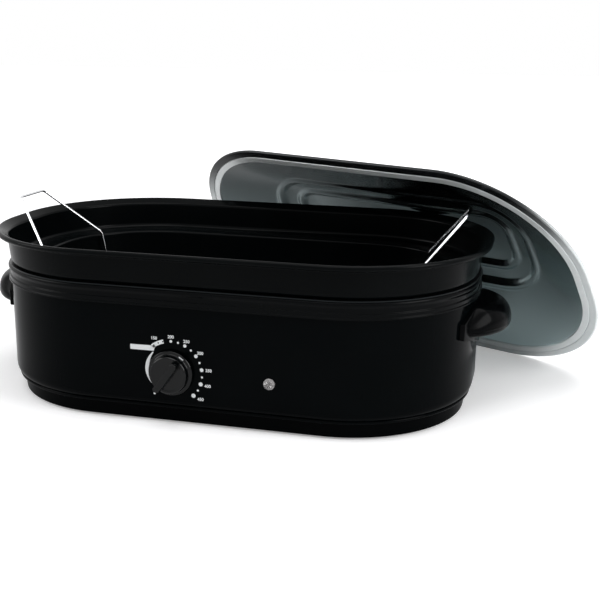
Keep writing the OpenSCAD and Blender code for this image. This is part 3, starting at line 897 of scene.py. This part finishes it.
    def lens(self) -> None:
        """Builds the faceted lamp lens."""
        bm = bmesh.new()
        r = self.lamp_r
        stations = [
            Station(0, -0.2), Station(r - 0.2, -0.2), Station(r, 0.2), Station(r, 1.0),
            Station(r - 0.9, 2.0), Station(r - 2.6, 2.9), Station(r - 4.4, 3.3), Station(0, 3.5)]
        round_profile(bm, stations, 16)
        for vert in bm.verts:
            turn = round(math.atan2(vert.co.y, vert.co.x) / (math.tau / 16))
            if turn % 2 and vert.co.z > 1.5 and vert.co.xy.length > 1.0:
                vert.co.z -= 1.3
        place = Matrix.Translation((self.lamp_x, self.wall, self.lamp_z)) @ UPRIGHT
        Piece("lamp_dome", "base", LENS, "lamp_clear", ("lamp_lens",), place, sharp=8.0,
              weighted=False).make(bm)


@dataclass
class PanAndRack:
    """The lift-out pan, its wire rack and the two folding lifters."""

    sheet: float = 1.2
    well_in: float = 27.0
    pan_gap: float = 3.0
    draft: float = 4.0
    floor_r: float = 16.0
    rack_gap: float = 8.0
    rack_up: float = 14.0
    floor: float = 36.0
    ledge: float = 147.2
    fold: float = 177.0
    bead_c: float = 150.6
    bead_z: float = 181.4
    bead_r: float = 3.0
    frame_d: float = 4.0
    wire_d: float = 3.0
    pivot_x: float = 190.0
    pivot_z: float = 53.9
    lift_half: float = 70.35
    lift_wide: float = 72.64
    lift_low: float = 100.0
    lift_up: float = 78.0
    lift_slant: float = 32.0
    lift_top: float = 27.0

    def build(self) -> None:
        """Builds the pan, the rack and both lifters."""
        self.pan()
        self.rack()
        self.lifter("left", -1, 11.0)
        self.lifter("right", 1, 7.0)

    def pan(self) -> None:
        """Builds the enamelled pan with its ledge, collar and rolled rim."""
        t, cr, fr = self.sheet, PLAN.corner, self.floor_r
        r0 = cr - self.well_in - t - self.pan_gap
        r1, z1 = r0 - self.draft, self.floor + fr
        stations = [
            Station(0, self.floor), *arc(r1 - fr, z1, fr, fr, -90, 0, 8),
            Station(r0, self.ledge, 1.5), Station(cr - 6, self.ledge),
            *arc(cr - 6, self.ledge + 6, 6, 6, -75, 0, 6), Station(cr + 2.4, self.fold - 0.5, 1.5),
            *arc(self.bead_c, self.bead_z, self.bead_r, self.bead_r, -130, 112, 14),
            Station(cr + 0.4, self.fold + 1.2, 2.0), Station(cr - t, self.ledge + 6),
            *arc(cr - 6, self.ledge + 6, 6 - t, 6 - t, -15, -90, 5),
            Station(r0 - t, self.ledge + t, 2.5), *arc(r1 - fr, z1, fr - t, fr - t, 0, -90, 8),
            Station(0, self.floor + t)]
        Piece("pan_shell", "pan", PAN_ENAMEL, "black_enamel",
              ("roasting_pan",)).make(PLAN.sweep(stations, closed=False, turns=28))

    def rack(self) -> None:
        """Builds the welded wire rack: a round frame, bars and four feet."""
        rack_r = (PLAN.corner - self.well_in - self.sheet - self.pan_gap - self.draft
                  - self.sheet - self.rack_gap - self.frame_d / 2)
        frame_z = self.floor + self.sheet + self.rack_up
        frame_loop = arc(rack_r, frame_z, self.frame_d / 2, self.frame_d / 2, 0, 330, 11)
        bm = PLAN.sweep(frame_loop, turns=16)
        paths = []
        for i in range(-5, 6):
            x = i * self.pivot_x / 5
            y = PLAN.sy + math.sqrt(rack_r ** 2 - max(abs(x) - PLAN.sx, 0) ** 2)
            paths.append([Vector((x, -y, self.pivot_z)), Vector((x, y, self.pivot_z))])
        for y in (-58.0, 0.0, 58.0):
            x = PLAN.sx + math.sqrt(rack_r ** 2 - max(abs(y) - PLAN.sy, 0) ** 2)
            z = self.pivot_z - self.wire_d + 0.6
            paths.append([Vector((-x, y, z)), Vector((x, y, z))])
        bars = wire_mesh(paths, self.wire_d / 2, 1.0)
        foot_x, foot_y = 0.6 * self.pivot_x, PLAN.sy + rack_r - 8
        feet = [[Vector((s * foot_x, t * foot_y, z))
                 for z in (self.floor + self.sheet, self.pivot_z)]
                for s in (-1, 1) for t in (-1, 1)]
        legs = wire_mesh(feet, self.frame_d / 2, 1.0)
        for mesh in (bars, legs):
            take(bm, mesh)
        Piece("rack_wires", "rack", CHROME, "chrome_wire", ("roasting_rack",),
              weighted=False).make(bm)

    def lifter(self, name: str, side: int, lean: float) -> None:
        """Builds one lifter: a bent wire with an eye at each foot.

        Args:
            name: left or right.
            side: -1 for the left, 1 for the right.
            lean: how far it leans outwards in degrees.
        """
        turn = math.radians(self.lift_slant)
        xs = self.lift_up * math.sin(turn)
        zs = self.lift_low + self.lift_up * math.cos(turn)
        eye = self.wire_d + 0.3
        near = [Vector((0, -self.lift_half, eye - 0.4)),
                Vector((0, -self.lift_wide, self.lift_low)), Vector((xs, -self.lift_top, zs))]
        path = near + [Vector((p.x, -p.y, p.z)) for p in reversed(near)]
        bm = bmesh.new()
        take(bm, wire_mesh([path], self.wire_d / 2, 4.0))
        for y in (-self.lift_half, self.lift_half):
            ring = bmesh.new()
            ops.create_circle(ring, segments=10, radius=self.wire_d / 2,
                              matrix=Matrix.Translation((eye, 0, 0)) @ UPRIGHT)
            ops.spin(ring, geom=ring.verts[:] + ring.edges[:], cent=(0, 0, 0),
                     axis=(0, 0, 1), angle=math.tau, steps=24, use_merge=True,
                     use_duplicate=False)
            ops.rotate(ring, verts=ring.verts[:], cent=(0, 0, 0),
                       matrix=Matrix.Rotation(math.pi / 2, 3, "X"))
            ops.translate(ring, verts=ring.verts[:], vec=(0, y, 0))
            absorb(bm, ring)
        place = Matrix.Translation((side * self.pivot_x, 0, self.pivot_z)) @ Matrix.Rotation(
            math.radians(side * lean), 4, "Y") @ Matrix.Diagonal((side, 1, 1, 1))
        ops.transform(bm, matrix=place, verts=bm.verts[:])
        Piece(f"lifter_wire_{name}", f"{name}_lifter", CHROME, "chrome_wire",
              (f"rack_lifter_{name}",), weighted=False).make(bm)


@dataclass
class Lid:
    """The domed lid that leans behind the roaster."""

    out: float = 9.0
    rim_w: float = 18.0
    depth: float = 54.4
    sheet: float = 1.2
    seat: float = 4.4
    roll: float = 2.2
    x: float = 137.5
    tilt: float = 51.0
    turn: float = -25.3
    lean_gap: float = 1.1
    foot_gap: float = 110.0
    handle_h: float = 38.0
    ridges: tuple[float, float] = (91.0, 118.5)
    ridge_half: float = 8.5

    @property
    def radius(self) -> float:
        """Radius of the lid's rim round a corner of the plan."""
        return PLAN.corner + self.out

    def place(self) -> Matrix:
        """Stands the lid on its long edge with its crown against the pan's rim.

        Returns:
            The lid's place, from its mouth at the origin.
        """
        pan = PanAndRack()
        tilt, turn = math.radians(self.tilt), math.radians(self.turn)
        z = ((PLAN.sy + self.radius - self.roll) * math.sin(tilt)
             - self.roll * math.cos(tilt) + self.roll)
        nx, ny, nz = (-math.sin(turn) * math.sin(tilt), math.cos(turn) * math.sin(tilt),
                      math.cos(tilt))
        y = PLAN.sy + (nx * (PLAN.sx - self.x) + pan.bead_c * math.sin(tilt)
                       + nz * (pan.bead_z - z) + pan.bead_r
                       - (self.depth - self.sheet - self.lean_gap)) / ny
        return (Matrix.Translation((self.x, y, z)) @ Matrix.Rotation(turn, 4, "Z")
                @ Matrix.Rotation(-tilt, 4, "X"))

    def height(self, inset: float) -> float:
        """Finds the dome's height.

        Args:
            inset: distance in from the lid's edge.

        Returns:
            The height above the mouth, with both basting ridges pressed in.
        """
        way = (inset - self.rim_w) / (self.radius - self.rim_w)
        z = self.seat + (self.depth - self.seat) * math.sin(math.pi / 2 * way)
        for ridge in self.ridges:
            gap = abs(inset - ridge)
            if gap < self.ridge_half:
                z -= 1.6 * (1 + math.cos(math.pi * gap / self.ridge_half))
        return z

    def build(self) -> None:
        """Builds the dome, its rim and the handle."""
        self.dome()
        self.rim()
        self.handle()

    def dome(self) -> None:
        """Builds the dome's shell."""
        place, r, t = self.place(), self.radius, self.sheet
        insets = [self.rim_w + 2.5 * i for i in range(1, 25)]
        insets += [82.0 + i for i in range(48)]
        insets += [132.0, 137.0, 143.0]
        insets = sorted({round(i, 1) for i in insets})
        top = [Station(r - i, self.height(i)) for i in insets]
        under = [Station(s.out, s.up - t) for s in reversed(top)]
        stations = [
            Station(0, self.depth), *reversed(top), Station(r - self.rim_w, self.seat, 1.0),
            Station(r - 4.3, self.seat), Station(r - 4.3, self.seat - t),
            Station(r - self.rim_w, self.seat - t, 1.0), *reversed(under),
            Station(0, self.depth - t)]
        obj = Piece("lid_shell", "lid", LID_ENAMEL, "black_enamel", ("lid_dome",),
                    place).make(PLAN.sweep(stations, closed=False, turns=32))
        # outward faces take the pan's enamel; the inside keeps the lid finish with its painted
        # shade
        obj.data.materials.append(PAN_ENAMEL.build())
        up = place.to_3x3() @ Vector((0, 0, 1))
        for face in obj.data.polygons:
            face.material_index = int(face.normal.dot(up) > 0)

    def rim(self) -> None:
        """Builds the bright rim with its groove and rolled edge."""
        place = self.place()
        r, low, high = self.radius, self.seat - self.sheet, self.seat
        stations = [
            Station(r - self.rim_w, low), Station(r - self.rim_w, 0.5, 0.6),
            Station(r - 10.4, 0.3, 0.3), Station(r - 9.8, 1.6, 0.2), Station(r - 9.2, 0.3, 0.3),
            *arc(r - self.roll, self.roll, self.roll, self.roll, -88, 90, 10),
            Station(r - 4, high), Station(r - 4, low)]
        obj = Piece("lid_rim", "lid", RIM_STEEL, "rim_steel", ("lid_rim_trim",),
                    place).make(PLAN.sweep(stations, turns=32))
        # the rolled edge takes the finish with painted shade that darkens it upwards
        obj.data.materials.append(RIM_ROLL.build())
        back = (Matrix.Scale(MM, 4) @ place).inverted()
        for face in obj.data.polygons:
            spot = back @ face.center
            out = math.hypot(max(abs(spot.x) - PLAN.sx, 0), max(abs(spot.y) - PLAN.sy, 0))
            face.material_index = int(out > r - 9.8)

    def handle(self) -> None:
        """Builds the bridge handle on top of the lid."""
        g, h = self.foot_gap / 2, self.handle_h
        bm = bmesh.new()
        for side in (-1, 1):
            post = bmesh.new()
            round_profile(post, [Station(0, 1.0), Station(9.4, 1.0, 0.8), Station(8.6, 6.0, 1.0),
                                 Station(8.6, h - 11.5, 0.5), Station(0, h - 11.5)], 32)
            ops.translate(post, verts=post.verts[:], vec=(side * g, 0, 0))
            absorb(bm, post)
        grip = bmesh.new()
        box(grip, (0.0, 0.0, h - 5.5), (2 * g + 26, 26.0, 11.0))
        corners = [e for e in grip.edges if abs(e.verts[0].co.z - e.verts[1].co.z) > 5]
        bevel(grip, corners, 12.6, 10)
        soften(grip, 3.0, 5, 60)
        absorb(bm, grip)
        Piece("lid_grip", "lid", PHENOLIC, "black_phenolic", ("lid_handle",),
              self.place() @ Matrix.Translation((0, 0, self.depth))).make(bm)


def dress_nodes() -> None:
    """Gives every CAD node the finish of its material slot."""
    slots = {row["node"]: row["material_slot"] for row in frame["record"]["subparts"]}
    # heat_well and lid_dome take finishes with painted shade that darkens them upwards
    special = {"heat_well": WELL_STEEL, "lid_dome": LID_ENAMEL, "roasting_pan": PAN_ENAMEL}
    for name, obj in frame["nodes"].items():
        material = special.get(name, BY_SLOT[slots[name]]).build()
        if not obj.material_slots:
            obj.data.materials.append(material)
        for holder in obj.material_slots:
            holder.material = material
        LOG.info("%s: dressed as %s", name, material.name)


@dataclass
class Studio:
    """The pale floor, the white surround, the lamps and the camera."""

    eye: tuple[float, float, float] = (0.3355, -1.0745, 0.3985)
    yaw: float = 0.2456
    pitch: float = 0.2607
    roll: float = 0.0095
    lens: float = 60.56
    sky: float = 0.28
    floor_lift: float = 0.28
    lift_span: tuple[float, float] = (0.5, 2.2)
    floor_half: float = 9.0
    floor_drop: float = 0.0002

    def build(self) -> None:
        """Builds the whole studio."""
        bpy.context.scene.view_settings.view_transform = "Standard"
        self.floor()
        self.surround()
        self.lamp("key", (0.3, -0.25, 2.3), (0.0, 0.1, 0.1), 2.6, 1.6, 42.0)
        self.lamp("left_box", (-1.5, -0.5, 0.9), (-0.2, 0.0, 0.1), 0.8, 1.0, 10.0)
        self.lamp("right_box", (1.6, -0.5, 0.9), (0.25, 0.0, 0.1), 0.8, 1.0, 17.0)
        self.camera()

    def floor(self) -> None:
        """Makes the pale floor, lifted to white where the camera sees it unshaded."""
        bm = bmesh.new()
        ops.create_grid(bm, x_segments=1, y_segments=1, size=self.floor_half)
        mesh = bpy.data.meshes.new("floor")
        bm.to_mesh(mesh)
        bm.free()
        obj = linked("floor", mesh)
        obj.location.z = -self.floor_drop
        material = bpy.data.materials.new("floor")
        material.use_nodes = True
        nodes = material.node_tree.nodes
        shader = nodes["Principled BSDF"]
        put(shader, {"Base Color": (0.88, 0.88, 0.89, 1.0), "Roughness": 0.7,
                     "Specular IOR Level": 0.1})
        glow = add(nodes, "Emission")
        scale = add(nodes, "Math")
        scale.operation = "MULTIPLY"
        spot = add(nodes, "TexCoord")
        away = add(nodes, "VectorMath")
        away.operation = "LENGTH"
        join(spot.outputs["Object"], away.inputs[0])
        lift = add(nodes, "MapRange", {"From Min": self.lift_span[0], "To Min": self.floor_lift,
                                       "From Max": self.lift_span[1], "To Max": 1.0})
        join(away.outputs["Value"], lift.inputs["Value"])
        join(lift.outputs["Result"], scale.inputs[1])
        path = add(nodes, "LightPath")
        join(path.outputs["Is Camera Ray"], scale.inputs[0])
        join(scale.outputs[0], glow.inputs["Strength"])
        both = add(nodes, "AddShader")
        join(shader.outputs[0], both.inputs[0])
        join(glow.outputs[0], both.inputs[1])
        join(both.outputs[0], nodes["Material Output"].inputs["Surface"])
        mesh.materials.append(material)

    def surround(self) -> None:
        """Makes the world: white where it is seen, dimmer as a lamp."""
        world = bpy.data.worlds.new("surround")
        bpy.context.scene.world = world
        world.use_nodes = True
        nodes = world.node_tree.nodes
        back = nodes["Background"]
        put(back, {"Color": (1.0, 1.0, 1.0, 1.0)})
        level = add(nodes, "MapRange", {"To Min": self.sky, "To Max": 1.0})
        path = add(nodes, "LightPath")
        seen = path.outputs["Is Camera Ray"]
        for name in ("Is Glossy Ray", "Is Transmission Ray"):
            both = add(nodes, "Math")
            both.operation, both.use_clamp = "ADD", True
            join(seen, both.inputs[0])
            join(path.outputs[name], both.inputs[1])
            seen = both.outputs[0]
        join(seen, level.inputs["Value"])
        join(level.outputs["Result"], back.inputs["Strength"])

    def lamp(self, name: str, place: tuple[float, float, float],
             aim: tuple[float, float, float], width: float, height: float,
             power: float) -> None:
        """Hangs one rectangular soft lamp.

        Args:
            name: the lamp's name.
            place: where it hangs, in metres.
            aim: the point it faces.
            width: its width in metres.
            height: its height in metres.
            power: its power in watts.
        """
        data = bpy.data.lights.new(name, "AREA")
        data.shape = "RECTANGLE"
        data.size, data.size_y, data.energy = width, height, power
        obj = linked(name, data)
        obj.location = place
        direction = Vector(aim) - Vector(place)
        obj.rotation_euler = direction.to_track_quat("-Z", "Y").to_euler()

    def camera(self) -> None:
        """Sets the camera at the photograph's angle."""
        data = bpy.data.cameras.new("camera")
        data.sensor_width = 36.0
        data.lens = self.lens
        data.clip_end = 50.0
        obj = linked("camera", data)
        ahead = Vector((-math.sin(self.yaw) * math.cos(self.pitch),
                        math.cos(self.yaw) * math.cos(self.pitch), -math.sin(self.pitch)))
        right = Vector((math.cos(self.yaw), math.sin(self.yaw), 0.0))
        up = right.cross(ahead)
        side = right * math.cos(self.roll) + up * math.sin(self.roll)
        top = up * math.cos(self.roll) - right * math.sin(self.roll)
        turn = Matrix((side, top, -ahead)).transposed().to_4x4()
        obj.matrix_world = Matrix.Translation(self.eye) @ turn
        bpy.context.scene.camera = obj


def main() -> None:
    """Builds the studio and every sub-assembly."""
    logging.basicConfig(level=logging.INFO, format="%(name)s %(message)s")
    Studio().build()
    dress_nodes()
    HeatedBase().build()
    Dial().build()
    PanAndRack().build()
    Lid().build()
    bpy.context.view_layer.update()


if __name__ == "__main__":
    main()
